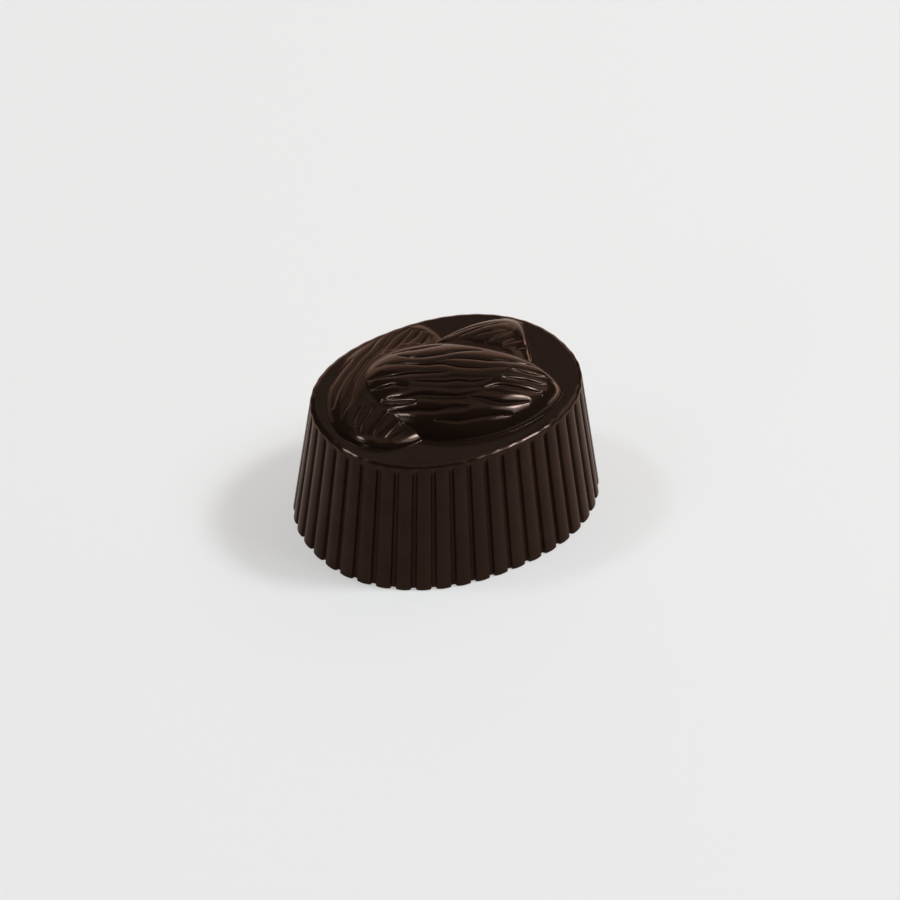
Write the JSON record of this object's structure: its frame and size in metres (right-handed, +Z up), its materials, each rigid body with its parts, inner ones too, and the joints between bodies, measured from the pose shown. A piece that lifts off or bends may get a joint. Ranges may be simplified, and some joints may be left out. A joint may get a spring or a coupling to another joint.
{
  "type": "dark chocolate praline with almonds in relief",
  "caption": "Oval moulded dark chocolate praline with a ribbed side that narrows upwards and almonds in relief on its flat top.",
  "frame": {"origin": "centre of the base, on the surface that the praline stands on", "axes": "+X along the oval's length, -Y to the front, +Z up"},
  "size_m": [0.0339, 0.0278, 0.0188],
  "materials": {
    "dark_chocolate": "glossy moulded dark chocolate"
  },
  "bodies": {
    "root": {"praline": "dark_chocolate"}
  },
  "joints": []
}
